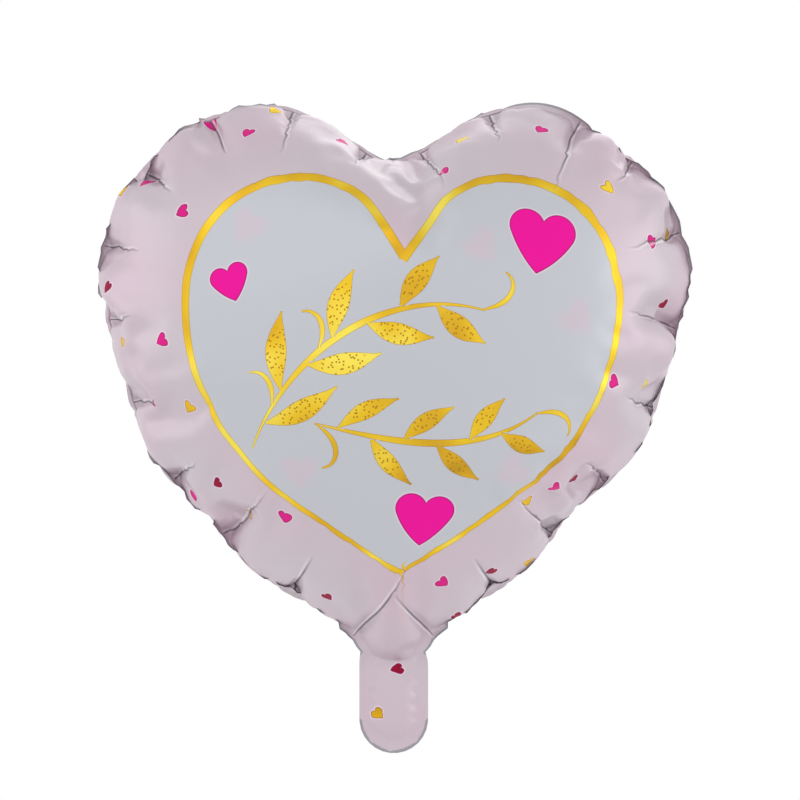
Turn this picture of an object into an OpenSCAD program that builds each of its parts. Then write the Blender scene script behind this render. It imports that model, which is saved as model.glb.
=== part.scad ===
// Heart-shaped foil balloon, inflated, with its filling tail and flat valve.
//
// Two printed foil films are heat-sealed face to face along a narrow flange that
// runs round the heart. Gas swells them into two domes. The films run on below the
// heart's tip as a short rounded tail, and a flat two-film valve passes through the
// neck between them. The tail bends at the neck, about the X axis.
//
// Millimetres. X runs across the heart, -Y is the printed front, +Z is up.
// The origin is the middle of the neck, where the ribbon is tied.

/* [Heart] */
// Width across the two lobes, over the flange
heart_w = 384; // [340:2:420]
// Radius of each lobe
lobe_r = 108; // [98:1:116]
// Depth of the cleft below the tops of the lobes
cleft_dip = 16; // [8:1:28]
// Radius of the long curve down each side
side_r = 370; // [350:5:440]
// Angle below the lobe's widest point at which the side curve begins
side_start = 20; // [14:1:26]
// Thickness of the inflated heart, front to back
heart_t = 184; // [140:2:190]

/* [Neck and tail] */
// Radius of the fillet between the heart's side and the neck
neck_r = 20; // [14:1:40]
// Width of the tail
tail_w = 44; // [38:1:52]
// Length of the tail below the neck, with its round end
tail_l = 63; // [56:1:80]
// Thickness of the tail where it is puffed up
tail_t = 8; // [5:0.5:10]
// Distance of the filling hole below the neck
hole_drop = 36; // [30:1:40]
// Radius of the filling hole in the tail's back film
hole_r = 4.5; // [3:0.5:6]

/* [Film] */
// Width of the heat-sealed flange
seal_w = 5; // [3:0.5:7]
// Wall of each film as modelled; the real foil is far thinner
film_t = 0.5; // [0.4:0.1:0.8]

/* [Valve] */
// Width of the flat valve
valve_w = 24; // [18:1:26]
// Length of the valve inside the heart
valve_in = 90; // [60:5:120]
// Thickness of each valve film as modelled
valve_t = 0.25; // [0.2:0.05:0.3]
// Gap between the two valve films
valve_gap = 0.1; // [0.05:0.05:0.2]

/* [Fineness] */
// Points round half of the heart
round_n = 44; // [30:2:56]
// Rings from the middle of the heart to its edge
ring_n = 13; // [9:1:16]

/* [Hidden] */
$fn = 64;

PEARL = [0.86, 0.80, 0.83];
CLEAR = [0.85, 0.88, 0.90, 0.5];

tail_half = tail_w / 2;
lobe_x = heart_w / 2 - lobe_r;
// Centre of the side curve, on the line from its first point through the lobe's centre
side_x = lobe_x + (lobe_r - side_r) * cos(side_start);
neck_x = tail_half + neck_r;
side_z = sqrt(pow(side_r + neck_r, 2) - pow(neck_x - side_x, 2));
side_end = atan2(side_z, neck_x - side_x);
lobe_z = side_z - (side_r - lobe_r) * sin(side_start);
// Radius of the curve in the cleft, which touches both lobes from above
cleft_r = (pow(lobe_x, 2) - 2 * lobe_r * cleft_dip + pow(cleft_dip, 2)) / (2 * cleft_dip);
cleft_z = lobe_z + lobe_r - cleft_dip + cleft_r;
cleft_end = atan2(cleft_z - lobe_z, lobe_x);
// The domes are worked out from this point in the middle of the heart
core_z = lobe_z - 0.4 * lobe_r;

// Exponents of the dome: nearly flat in the middle and steep at the seam
DOME_P = 2.3;
DOME_Q = 0.55;

valve_half = valve_w / 2;
valve_y = valve_gap / 2 + valve_t;
// Height over which the neck's flat passage fades into the dome
neck_fade = 20;
// Round tip of the domes, which carries on from the side curves above the neck
tip_z = side_z + side_x * tan(side_end);
tip_r = side_r + side_x / cos(side_end);

// Share of round_n spent on each curve of the outline
cleft_n = round(round_n * 0.14);
lobe_n = round(round_n * 0.45);
neck_n = round(round_n * 0.12);
side_n = round_n - cleft_n - lobe_n - neck_n;

// The tail starts below the bend line, so that it turns clear of the heart
tail_gap = 1.5;
tail_end_z = tail_half - tail_l;
tail_puff_r = tail_half - seal_w;
// Length of the flat passage above the tail's puffed part
sleeve_l = 2.5;
puff_top_z = -tail_gap - sleeve_l - tail_puff_r;
hole_z = -hole_drop;
// Ends of the valve: inside the heart it starts just above the bend line, and in
// the tail it runs down to just below the filling hole
valve_low = 0.5;
valve_end_z = hole_z - hole_r - 3;
// Radius of the cylinder whose slice is the tail's puffed face
puff_sag = tail_t / 2 - film_t;
puff_r = (pow(tail_puff_r, 2) + pow(puff_sag, 2)) / (2 * puff_sag);

// Points on a circle from angle a to b, without the first one
function arc_pts(cx, cz, r, a, b, n) =
    [for (i = [1:n]) let (t = a + (b - a) * i / n) [cx + r * cos(t), cz + r * sin(t)]];

// Right half of the outline, drawn in by d, from the cleft round to the neck and
// along the neck's lower edge to the middle line
function half_outline(d) = concat(
    [[0, cleft_z - cleft_r - d]],
    arc_pts(0, cleft_z, cleft_r + d, -90, -cleft_end, cleft_n),
    arc_pts(lobe_x, lobe_z, lobe_r - d, 180 - cleft_end, -side_start, lobe_n),
    arc_pts(side_x, side_z, side_r - d, -side_start, -side_end, side_n),
    arc_pts(neck_x, 0, neck_r + d, 180 - side_end, 180, neck_n),
    [[valve_half, 0], [valve_half / 2, 0], [0, 0]]);

// The whole loop, clockwise as seen from the front
function outline(d) =
    let (h = half_outline(d), n = len(h))
    concat(h, [for (i = [n - 2:-1:1]) [-h[i][0], h[i][1]]]);

// Half thickness of the flat passage that the valve takes through the neck
function passage(x, z) =
    let (side = (tail_half - seal_w - abs(x)) / (tail_half - seal_w - valve_half))
    valve_y * max(0, min(1, side)) * max(0, min(1, 2 - z / neck_fade));

// Half thickness of a dome at share v of the way from the core to its edge
function dome(v, depth) = depth * pow(max(0, 1 - pow(v, DOME_P)), DOME_Q);

// How far seam point p lies from the core, as a share of the dome's own reach there.
// It is 1 down to the end of the side curve, and below that the dome ends in its tip.
function reach(p, d) =
    let (r = norm([p[0], p[1] - core_z]),
         h = core_z - tip_z,
         along = h * (core_z - p[1]) / r,
         tip = along + sqrt(max(0, pow(along, 2) - pow(h, 2) + pow(tip_r - d, 2))))
    p[1] > side_z - (side_r - d) * sin(side_end) - 0.01 ? 1 : r / tip;

// Rings of one face of a film, from the core out to the seam: [x, y, z] points
function face_pts(d, depth, wall) =
    let (loop = outline(d))
    concat([[0, -depth - wall, core_z]],
        [for (k = [1:ring_n]) let (v = sin(90 * k / ring_n))
            for (p = loop) let (
                x = p[0] * v,
                z = core_z + (p[1] - core_z) * v,
                share = min(1, v * reach(p, d)))
            [x, -max(dome(share, depth), passage(x, z)) - wall, z]]);

// Triangles of a fan and rings whose first point is number s; m points a ring
function face_tris(s, m, n, flip) =
    [for (k = [0:n - 1]) for (i = [0:m - 1]) let (
            j = (i + 1) % m,
            a = k == 0 ? s : s + 1 + (k - 1) * m + i,
            b = k == 0 ? s : s + 1 + (k - 1) * m + j,
            c = s + 1 + k * m + i,
            e = s + 1 + k * m + j)
        each k == 0
            ? [flip ? [a, e, c] : [a, c, e]]
            : flip ? [[a, b, e], [a, e, c]] : [[a, e, b], [a, c, e]]];

// One half of the heart: dome and flange, one closed wall, on the -Y side
module heart_film() {
    rim = outline(0);
    m = len(rim);
    outside = face_pts(seal_w - film_t, heart_t / 2 - film_t, film_t);
    inside = face_pts(seal_w, heart_t / 2 - film_t, 0);
    outer_rim = [for (p = rim) [p[0], -film_t - passage(p[0], p[1]), p[1]]];
    inner_rim = [for (p = rim) [p[0], -passage(p[0], p[1]), p[1]]];
    pts = concat(outside, outer_rim, inside, inner_rim);
    first_in = len(outside) + m;
    last_out = len(outside);
    last_in = first_in + len(inside);
    edge = [for (i = [0:m - 1]) let (j = (i + 1) % m)
        each [[last_out + i, last_in + i, last_in + j],
              [last_out + i, last_in + j, last_out + j]]];
    polyhedron(pts, concat(face_tris(0, m, ring_n + 1, false),
                           face_tris(first_in, m, ring_n + 1, true), edge));
}

// Outline of the tail from its top edge to its round end, drawn in by d
module tail_shape(d) {
    translate([-tail_half + d, tail_end_z])
        square([tail_w - 2 * d, -tail_gap - tail_end_z]);
    translate([0, tail_end_z]) circle(r = tail_half - d);
}

// Lens-shaped solid of the puffed tail: a cylinder's slice with a ball at each end
module puff(grow) {
    intersection() {
        translate([0, puff_r - puff_sag, 0]) union() {
            translate([0, 0, tail_end_z]) cylinder(r = puff_r + grow, h = puff_top_z - tail_end_z);
            for (z = [tail_end_z, puff_top_z]) translate([0, 0, z]) sphere(r = puff_r + grow);
        }
        translate([-tail_half, -tail_t, -tail_l]) cube([tail_w, tail_t, tail_l]);
    }
}

// The flat passage that the valve takes through the top of the tail, -Y half
module sleeve(grow) {
    translate([-valve_half - grow, -valve_y - grow, puff_top_z])
        cube([valve_w + 2 * grow, valve_y + grow, -tail_gap - puff_top_z]);
}

// One half of the tail: flange, puffed face and the passage's wall
module tail_film() {
    difference() {
        union() {
            rotate([90, 0, 0]) linear_extrude(film_t) tail_shape(0);
            puff(film_t);
            sleeve(film_t);
        }
        puff(0);
        sleeve(0);
    }
}

// One film of the valve, on the -Y side, from height z0 to z1
module valve_film(z0, z1) {
    translate([-valve_half, -valve_y, z0]) cube([valve_w, valve_t, z1 - z0]);
}

// Straight hole through whatever lies behind the tail's middle plane
module filling_hole() {
    translate([0, 0, hole_z]) rotate([-90, 0, 0]) cylinder(r = hole_r, h = tail_t);
}

// Turns a front piece round to the back of the balloon
module to_back() {
    mirror([0, 1, 0]) children();
}

module front_film() {
    color(PEARL) heart_film();
}

module back_film() {
    color(PEARL) to_back() heart_film();
}

module tail_front_film() {
    color(PEARL) tail_film();
}

module tail_back_film() {
    color(PEARL) difference() {
        to_back() tail_film();
        filling_hole();
    }
}

module valve_front_film() {
    color(CLEAR) valve_film(valve_low, valve_in);
}

module valve_back_film() {
    color(CLEAR) to_back() valve_film(valve_low, valve_in);
}

module tail_valve_front_film() {
    color(CLEAR) valve_film(valve_end_z, -tail_gap);
}

module tail_valve_back_film() {
    color(CLEAR) difference() {
        to_back() valve_film(valve_end_z, -tail_gap);
        filling_hole();
    }
}

front_film();
back_film();
tail_front_film();
tail_back_film();
valve_front_film();
valve_back_film();
tail_valve_front_film();
tail_valve_back_film();
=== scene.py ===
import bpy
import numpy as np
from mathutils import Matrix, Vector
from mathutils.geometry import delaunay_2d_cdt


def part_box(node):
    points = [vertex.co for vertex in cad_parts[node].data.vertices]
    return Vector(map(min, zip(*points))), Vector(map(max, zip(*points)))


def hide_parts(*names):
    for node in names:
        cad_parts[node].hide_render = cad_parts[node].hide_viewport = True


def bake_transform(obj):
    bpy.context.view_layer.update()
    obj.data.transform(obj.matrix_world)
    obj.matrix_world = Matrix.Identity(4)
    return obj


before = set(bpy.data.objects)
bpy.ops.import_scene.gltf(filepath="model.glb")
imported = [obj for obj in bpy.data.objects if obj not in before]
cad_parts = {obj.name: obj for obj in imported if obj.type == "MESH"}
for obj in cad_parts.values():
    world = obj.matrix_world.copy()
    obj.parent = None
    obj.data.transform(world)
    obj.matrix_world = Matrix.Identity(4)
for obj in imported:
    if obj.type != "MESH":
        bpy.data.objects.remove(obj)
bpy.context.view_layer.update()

# %% [markdown]
# # Heart-shaped foil balloon
# The real balloon is two sheets of printed foil, cut flat and heat-sealed face to face round the edge,
# with a flat clear valve in its neck. Nobody shapes the bulge: gas does. So this script does what the
# maker does. It draws the flat pattern, seals two sheets of it, and lets Blender's Cloth blow them up. The
# pleats along the seam are begun as a wave, and the creases are pressed in afterwards. The print is laid
# on the flat sheet, so it goes over the bulge as real print does.

heart_low, heart_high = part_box("front_film")
tail_low, tail_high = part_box("tail_front_film")
heart_wide = heart_high.x - heart_low.x
heart_tall = heart_high.z
tail_wide = tail_high.x - tail_low.x
tail_long = -tail_low.z
print("heart", round(heart_wide, 3), "wide and", round(heart_tall, 3), "tall")

# %% [markdown]
# ## Camera
# The balloon is seen square on from the front, with a long lens from about two metres, so that the heart
# isn't distorted. The frame is a third wider than the heart.

# %% Camera
scene = bpy.context.scene
scene.view_settings.view_transform = "Standard"
CAMERA_AWAY = 2.0
FRAME_WIDE = heart_wide * 4 / 3
AIM = Vector((0.004, 0, heart_tall * 0.465))
camera_data = bpy.data.cameras.new("camera")
camera_data.sensor_width = 36
camera_data.lens = camera_data.sensor_width * CAMERA_AWAY / FRAME_WIDE
camera = bpy.data.objects.new("camera", camera_data)
camera.location = AIM + Vector((0, -CAMERA_AWAY, 0))
camera.rotation_euler = (np.pi / 2, 0, 0)
scene.collection.objects.link(camera)
scene.camera = camera
print("lens", round(camera_data.lens, 1), "mm")

# %% [markdown]
# ## The flat pattern
# Each foil is cut to a fat heart that runs on into a short tail. The pattern is wider than the blown-up
# balloon, because a flat sheet pulls in as it swells. The top is nearly straight: the cleft deepens by
# itself. The outline is a chain of arcs that touch, so that it has no corners: cleft, lobe, side, neck,
# and the tail's round end.

# %% Outline of the cut
LOBE_X = 0.075
LOBE_R = 0.155
CLEFT_DIP = 0.009
SIDE_R = 0.267
SIDE_START = np.radians(2.5)
NECK_R = 0.014
DRAW_STEP = 0.0005
tail_half = tail_wide / 2


def arc(centre, radius, start, end):
    """Points every DRAW_STEP along a circle, from the angle start to the angle end."""
    count = max(2, int(abs(end - start) * radius / DRAW_STEP) + 1)
    angle = np.linspace(start, end, count)
    return np.stack([centre[0] + radius * np.cos(angle), centre[1] + radius * np.sin(angle)], 1)


def angle_to(tip, foot):
    """Direction from the point foot to the point tip."""
    return np.arctan2(tip[1] - foot[1], tip[0] - foot[0])


def cut_outline():
    """The closed outline of one foil, clockwise from the cleft, with the neck at height 0.

    Each arc's centre lies on the line through the last arc's centre and the point where they touch.
    """
    cleft_r = (LOBE_X ** 2 - 2 * LOBE_R * CLEFT_DIP + CLEFT_DIP ** 2) / (2 * CLEFT_DIP)
    side_x = LOBE_X + (LOBE_R - SIDE_R) * np.cos(SIDE_START)
    neck_x = tail_half + NECK_R
    side_z = np.sqrt((SIDE_R + NECK_R) ** 2 - (neck_x - side_x) ** 2)
    lobe_z = side_z - (SIDE_R - LOBE_R) * np.sin(SIDE_START)
    cleft_z = lobe_z + LOBE_R - CLEFT_DIP + cleft_r
    lobe, side, neck = (LOBE_X, lobe_z), (side_x, side_z), (neck_x, 0)
    cleft, tail = (0, cleft_z), (0, tail_half - tail_long)
    down = angle_to(lobe, cleft)
    slant = angle_to(neck, side)
    half = np.concatenate([
        arc(cleft, cleft_r, -np.pi / 2, down)[:-1],
        arc(lobe, LOBE_R, down + np.pi, -SIDE_START)[:-1],
        arc(side, SIDE_R, -SIDE_START, slant)[:-1],
        arc(neck, NECK_R, slant + np.pi, np.pi),
        arc(tail, tail_half, 0, -np.pi / 2)])
    return np.concatenate([half, half[1:-1][::-1] * [-1, 1]])


cut = cut_outline()
flat_size = np.ptp(cut, axis=0)
flat_area = abs((cut[:, 0] * np.roll(cut[:, 1], -1) - np.roll(cut[:, 0], -1) * cut[:, 1]).sum()) / 2
print("flat foil", np.round(flat_size, 3), "m and", round(flat_area, 4), "m2")

# %% [markdown]
# ## A mesh that can pleat
# Creases have to be free to run any way, so the sheet is filled with a lattice of equal triangles, and
# not with rows and columns. The cut edge, the seal line and the round filling hole in the tail are kept as
# edges of the mesh. So are short lines in from the seal where the film will crease, so that a crease is
# crisp: those of the front foil start at the places in PLEATS, as shares of the way round the seal from
# the cleft, and those of the back foil half-way between.

# %% Triangles of the flat sheet
SEAL_W = 0.006
MESH_STEP = 0.005
HOLE_R = 0.0045
HOLE_Z = -0.036
CLEAR_STEPS = 0.62
CREASE_LONG = 0.085
PLEATS = [0.018, 0.055, 0.097, 0.137, 0.180, 0.226, 0.273, 0.320, 0.362, 0.402, 0.440,
          0.560, 0.598, 0.640, 0.682, 0.727, 0.772, 0.815, 0.858, 0.900, 0.944, 0.982]


def spread(loop, step):
    """The closed loop again, with points an equal step apart."""
    shut = np.concatenate([loop, loop[:1]])
    along = np.concatenate([[0], np.cumsum(np.linalg.norm(np.diff(shut, axis=0), axis=1))])
    count = int(round(along[-1] / step))
    at = np.arange(count) * along[-1] / count
    return np.stack([np.interp(at, along, shut[:, k]) for k in (0, 1)], 1)


def inward(loop):
    """Unit normals of a clockwise loop, towards its inside: each point's run turned a quarter right."""
    run = np.roll(loop, -1, 0) - np.roll(loop, 1, 0)
    run /= np.linalg.norm(run, axis=1)[:, None]
    return np.stack([run[:, 1], -run[:, 0]], 1)


def inside(points, loop):
    """True where a line from the point to the right crosses the loop an odd number of times."""
    x, y = points[:, :1], points[:, 1:]
    x0, y0 = loop.T
    x1, y1 = np.roll(loop, -1, 0).T
    rise = np.where(y1 == y0, 1, y1 - y0)
    crossed = ((y0 > y) != (y1 > y)) & (x < (x1 - x0) * (y - y0) / rise + x0)
    return crossed.sum(1) % 2 == 1


def distance_to(points, loop):
    """Distance from each point to the nearest point of the loop, and which one that is."""
    near, which = [], []
    for some in np.array_split(points, 1 + len(points) // 2000):
        apart = np.hypot(some[:, :1] - loop[:, 0], some[:, 1:] - loop[:, 1])
        near.append(apart.min(1))
        which.append(apart.argmin(1))
    return np.concatenate(near), np.concatenate(which)


def lattice(loop, step):
    """Corners of equal triangles inside the loop, centred on x = 0 and kept off the loop itself."""
    low, high = loop.min(0), loop.max(0)
    row_step = step * np.sqrt(3) / 2
    rows = np.arange(int((high[1] - low[1]) / row_step) + 2)
    half_count = int(high[0] / step) + 2
    cols = np.arange(-half_count, half_count + 1)
    x = (cols[:, None] + 0.5 * (rows % 2)) * step
    y = np.broadcast_to(low[1] + rows * row_step, x.shape)
    points = np.stack([x.ravel(), y.ravel()], 1)
    points = points[inside(points, loop)]
    return points[distance_to(points, loop)[0] > CLEAR_STEPS * step]


def fill_sheet(loops, lines, field, step):
    """Triangles over the first loop, which keep each loop and each open line as edges.

    Inside the field they are equal triangles. They all face the front of the balloon. The corners come
    loop by loop, then line by line, and then the lattice's.
    """
    filling = lattice(field, step)
    for kept in loops[1:] + lines:
        filling = filling[distance_to(filling, kept)[0] > CLEAR_STEPS * step]
    starts = np.cumsum([0] + [len(kept) for kept in loops + lines])
    edges = [np.stack([np.arange(len(loop)), np.roll(np.arange(len(loop)), -1)], 1) + start
             for loop, start in zip(loops, starts)]
    edges += [np.stack([np.arange(len(line) - 1), np.arange(1, len(line))], 1) + start
              for line, start in zip(lines, starts[len(loops):])]
    points = np.concatenate(loops + lines + [filling])
    made = delaunay_2d_cdt([Vector(p) for p in points], np.concatenate(edges).tolist(), [], 0, 1e-7)
    corners, triangles = np.array(made[0]), np.array(made[2])
    triangles = triangles[inside(corners[triangles].mean(1), loops[0])]
    side_a = corners[triangles[:, 1]] - corners[triangles[:, 0]]
    side_b = corners[triangles[:, 2]] - corners[triangles[:, 0]]
    turned = side_a[:, 0] * side_b[:, 1] < side_a[:, 1] * side_b[:, 0]
    triangles[turned] = triangles[turned][:, ::-1]
    return corners, triangles


rim = spread(cut, MESH_STEP)
seal = spread(rim + SEAL_W * inward(rim), MESH_STEP)
round_turn = np.linspace(0, 2 * np.pi, 24, endpoint=False)
hole = np.stack([HOLE_R * np.cos(round_turn), HOLE_Z + HOLE_R * np.sin(round_turn)], 1)
between = (np.array(PLEATS) + np.roll(PLEATS, -1) + (np.arange(len(PLEATS)) == len(PLEATS) - 1)) / 2 % 1
crease_at = np.concatenate([PLEATS, between])
crease_foot = np.round(crease_at * len(seal)).astype(int)
crease_way = inward(seal)[crease_foot]
creases = [seal[foot] + way * MESH_STEP * np.arange(1, CREASE_LONG / MESH_STEP)[:, None]
           for foot, way in zip(crease_foot, crease_way)]
flat, tris = fill_sheet([rim, seal, hole], creases, seal, MESH_STEP)
in_seal = inside(flat[tris].mean(1), seal)
flange_tris, bulge_tris = tris[~in_seal], tris[in_seal]
print(len(flat), "points and", len(tris), "triangles in each foil")

# %% [markdown]
# ## Sealing and blowing up
# The two foils share the flange, which is the heat seal, and are separate inside it. Cloth with pressure
# then does the work. Foil hardly stretches, so the film is as stiff in tension as in compression. It still
# ends a few hundredths smaller in area, which stands for the wrinkles that are finer than the mesh. The
# solver is tuned for things the size of a person, so the balloon is blown up at SIM_SCALE times its size.
# The tail is held still. The seam has to become shorter, and it does so in pleats: a wave laid along it,
# with a crest at each place in PLEATS, says where they begin. The outline changes by some millimetres with
# a small change of the mesh, so the number of crease lines stays as it is.

# %% The two foils sealed, with a wave along the seam
WAVE_HIGH = 0.003
WAVE_FADE = 0.025
NECK_HOLD = 0.004
WELD_APART = 0.001
UNEVEN = 0.0003
SIM_SCALE = 10
SIM_FRAMES = 34

rim_count = len(rim)
seam_count = rim_count + len(seal)
count = len(flat)
bulge = np.arange(seam_count, count)
to_back = np.arange(count)
to_back[bulge] = count + np.arange(len(bulge))
all_flat = np.concatenate([flat, flat[bulge]])
side_sign = np.zeros(len(all_flat))
side_sign[bulge] = -1
side_sign[count:] = 1
seal_distance, seal_nearest = distance_to(all_flat, seal)
seal_share = seal_nearest / len(seal)
pleat_turns = np.interp(seal_share, [PLEATS[-1] - 1] + PLEATS + [PLEATS[0] + 1], np.arange(len(PLEATS) + 2))
wave = WAVE_HIGH * np.cos(2 * np.pi * pleat_turns) * np.exp(-seal_distance / WAVE_FADE)
random = np.random.default_rng(1)
start_y = WELD_APART * side_sign + UNEVEN * random.standard_normal(len(all_flat))
start_y += np.where(all_flat[:, 1] > 0.01, wave, 0)
held = (all_flat[:, 1] < -NECK_HOLD) & (side_sign == 0)
start_y[held] = 0
start_co = np.stack([all_flat[:, 0], start_y, all_flat[:, 1]], 1)
faces = np.concatenate([bulge_tris, to_back[bulge_tris][:, ::-1], flange_tris])


def mesh_object(name, corners, triangles):
    """A smooth-shaded mesh object from arrays of corners and triangles."""
    mesh = bpy.data.meshes.new(name)
    mesh.from_pydata(corners.tolist(), [], triangles.tolist())
    mesh.shade_smooth()
    made_object = bpy.data.objects.new(name, mesh)
    scene.collection.objects.link(made_object)
    return made_object


def blow_up(corners, triangles, frames):
    """Cloth with pressure in it, stepped over some frames; gives where each corner ends up."""
    balloon = mesh_object("blowing_up", corners * SIM_SCALE, triangles)
    gas = balloon.vertex_groups.new(name="gas")
    gas.add(np.arange(rim_count, len(corners)).tolist(), 1, "REPLACE")
    gas.add(np.where(all_flat[:, 1] < 0)[0].tolist(), 0.2, "REPLACE")
    gas.add(np.arange(rim_count).tolist(), 0, "REPLACE")
    grip = balloon.vertex_groups.new(name="grip")
    grip.add(np.where(held)[0].tolist(), 1, "REPLACE")
    cloth = balloon.modifiers.new("cloth", "CLOTH")
    film = cloth.settings
    film.quality = 8
    film.mass = 0.3
    film.air_damping = 8
    film.tension_stiffness = 80
    film.shear_stiffness = 80
    film.compression_stiffness = 80
    film.bending_stiffness = 1
    film.tension_damping = 5
    film.shear_damping = 5
    film.compression_damping = 5
    film.use_pressure = True
    film.uniform_pressure_force = 5
    film.vertex_group_pressure = "gas"
    film.vertex_group_mass = "grip"
    film.effector_weights.gravity = 0
    cloth.collision_settings.use_collision = False
    cloth.collision_settings.use_self_collision = False
    cloth.point_cache.frame_start = 1
    cloth.point_cache.frame_end = frames
    for number in range(1, frames + 1):
        scene.frame_set(number)
    blown = balloon.evaluated_get(bpy.context.evaluated_depsgraph_get())
    result = np.zeros(len(corners) * 3, np.float32)
    blown.data.vertices.foreach_get("co", result)
    bpy.data.objects.remove(balloon)
    scene.frame_set(1)
    return result.reshape(-1, 3).astype(float) / SIM_SCALE


blown_co = blow_up(start_co, faces, SIM_FRAMES)
print("blown up to", np.round(np.ptp(blown_co, axis=0), 3), "m")

# %% [markdown]
# ## The tail
# The tail holds a little gas too, so its faces swell like a lens: the half thickness is that of a slice
# of a cylinder, worked out from the distance to the seal. At the neck it stays pinched nearly flat, where
# the film creases round the valve.

# %% Puff the tail
TAIL_PUFF = 0.004
TAIL_GAP = 0.0006
PINCH_Z = -0.006
PUFF_Z = -0.020


def smooth_step(low, high, value):
    """0 before low, 1 after high, and an S-curve between; high may be the lower number."""
    share = np.clip((value - low) / (high - low), 0, 1)
    return share * share * (3 - 2 * share)


def lens(distance, reach):
    """Height of a half circle over a strip, as a share, at a distance from the strip's edge."""
    return np.sqrt(np.clip(1 - (1 - distance / reach) ** 2, 0, 1))


swell = TAIL_PUFF * lens(seal_distance, tail_half - SEAL_W)
tail_y = side_sign * (TAIL_GAP + swell * smooth_step(PINCH_Z, PUFF_Z, all_flat[:, 1]))
tail_co = np.stack([all_flat[:, 0], tail_y, all_flat[:, 1]], 1)
tail_share = smooth_step(0, PINCH_Z, all_flat[:, 1])[:, None]
blown_co = blown_co * (1 - tail_share) + tail_co * tail_share

# %% [markdown]
# ## An even seam
# Coarse cloth crumples the seam unevenly: here and there it draws in too far. A real seam is drawn in by
# about as much at every pleat. So the seam's line is evened out along itself, and the film near it moves
# along, less and less with its distance from the seam.

# %% Even the seam
EVEN_ROUNDS = 60
EVEN_FADE = 0.030
KEEP_WAVY = 0.5
NECK_Z = 0.02


def evened(loop_values, rounds):
    """A closed loop of values where each becomes half itself and a quarter of each neighbour."""
    for _ in range(rounds):
        loop_values = (2 * loop_values + np.roll(loop_values, 1, 0) + np.roll(loop_values, -1, 0)) / 4
    return loop_values


seal_co = blown_co[rim_count:seam_count]
seam_shift = evened(seal_co, EVEN_ROUNDS) - seal_co
seam_shift[:, 1] *= 1 - KEEP_WAVY
seam_shift *= smooth_step(0, NECK_Z, seal[:, 1])[:, None]
seam_shift = evened(seam_shift, 2)
blown_co += seam_shift[seal_nearest] * np.exp(-(seal_distance / EVEN_FADE) ** 2)[:, None]
print("seam moved by up to", round(np.abs(seam_shift).max(), 4), "m")

# %% [markdown]
# ## Finer triangles and smooth film
# Cloth leaves a faint pebbling as fine as its mesh, which real film doesn't have. Each triangle is split
# in four, and then every corner moves part of the way to the middle of its neighbours, a few times over.
# The cut edge stays where it is. The flat position of each corner goes through the same split, so the
# print is not disturbed.

# %% Split and smooth
SMOOTH_SHARE = 0.5
SMOOTH_ROUNDS = 10


def edges_of(triangles):
    """Each edge once, as a pair of corners, and for each triangle the numbers of its three edges."""
    pairs = np.sort(triangles[:, [[0, 1], [1, 2], [2, 0]]].reshape(-1, 2), axis=1)
    edges, which = np.unique(pairs, axis=0, return_inverse=True)
    return edges, which.reshape(-1, 3)


def split_in_four(values, triangles):
    """Adds the middle of each edge as a new corner and makes four triangles of each one."""
    edges, edge = edges_of(triangles)
    middle = edge + len(values)
    a, b, c = triangles.T
    ab, bc, ca = middle.T
    parts = [[a, ab, ca], [ab, b, bc], [ca, bc, c], [ab, bc, ca]]
    small = np.concatenate([np.stack(part, 1) for part in parts])
    return np.concatenate([values, values[edges].mean(1)]), small


def smoothed(corners, triangles, free, rounds):
    """Moves each free corner a share of the way to the mean of its neighbours, some rounds over."""
    edges = edges_of(triangles)[0]
    ends = np.concatenate([edges[:, 0], edges[:, 1]])
    others = np.concatenate([edges[:, 1], edges[:, 0]])
    order = np.argsort(ends, kind="stable")
    first = np.searchsorted(ends[order], np.arange(len(corners)))
    degree = np.bincount(ends, minlength=len(corners))[:, None]
    for _ in range(rounds):
        mean = np.add.reduceat(corners[others[order]], first) / degree
        corners = corners + SMOOTH_SHARE * free[:, None] * (mean - corners)
    return corners


rim_distance = distance_to(all_flat, cut)[0]
on_rim = np.arange(len(all_flat)) < rim_count
table = np.column_stack([blown_co, all_flat, rim_distance, side_sign, on_rim, seal_distance, pleat_turns])
table, fine_faces = split_in_four(table, faces)
film_co, film_flat = table[:, :3], table[:, 3:5]
film_rim, film_side, film_free = table[:, 5], table[:, 6], 1 - np.floor(table[:, 7])
film_seal, pleat_turn = table[:, 8], table[:, 9]
film_co = smoothed(film_co, fine_faces, film_free, SMOOTH_ROUNDS)
face_kind = np.tile(np.repeat(["front", "back", "flange"], [len(bulge_tris)] * 2 + [len(flange_tris)]), 4)
print(len(film_co), "corners, size now", np.round(np.ptp(film_co, axis=0), 3))

# %% [markdown]
# ## Creases and scallops
# Where the seam pulls the film in, each bulge meets the next in a sharp fold. Cloth can't fold as sharply
# as foil, so each crease line is pressed in along it: deepest at the seam, and gone at its inner end. The
# one in the tail is a line of the mesh only. Between two creases the film swells a little past the seam,
# which gives the edge its scallops. Over the valve strips the film always stays clear of them.

# %% Press the creases in
CREASE_DEEP = 0.005
CREASE_WIDE = 0.008
SCALLOP_HIGH = 0.0035
SCALLOP_FADE = 0.012
VALVE_ROOM = 0.014


def corner_normals(corners, triangles):
    """Each corner's normal: the sum of its triangles' normals, which counts big ones more."""
    a, b, c = corners[triangles.T]
    normal = np.cross(b - a, c - a)
    total = np.zeros_like(corners)
    for k in range(3):
        np.add.at(total, triangles[:, k], normal)
    return total / np.maximum(np.linalg.norm(total, axis=1), 1e-12)[:, None]


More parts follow.
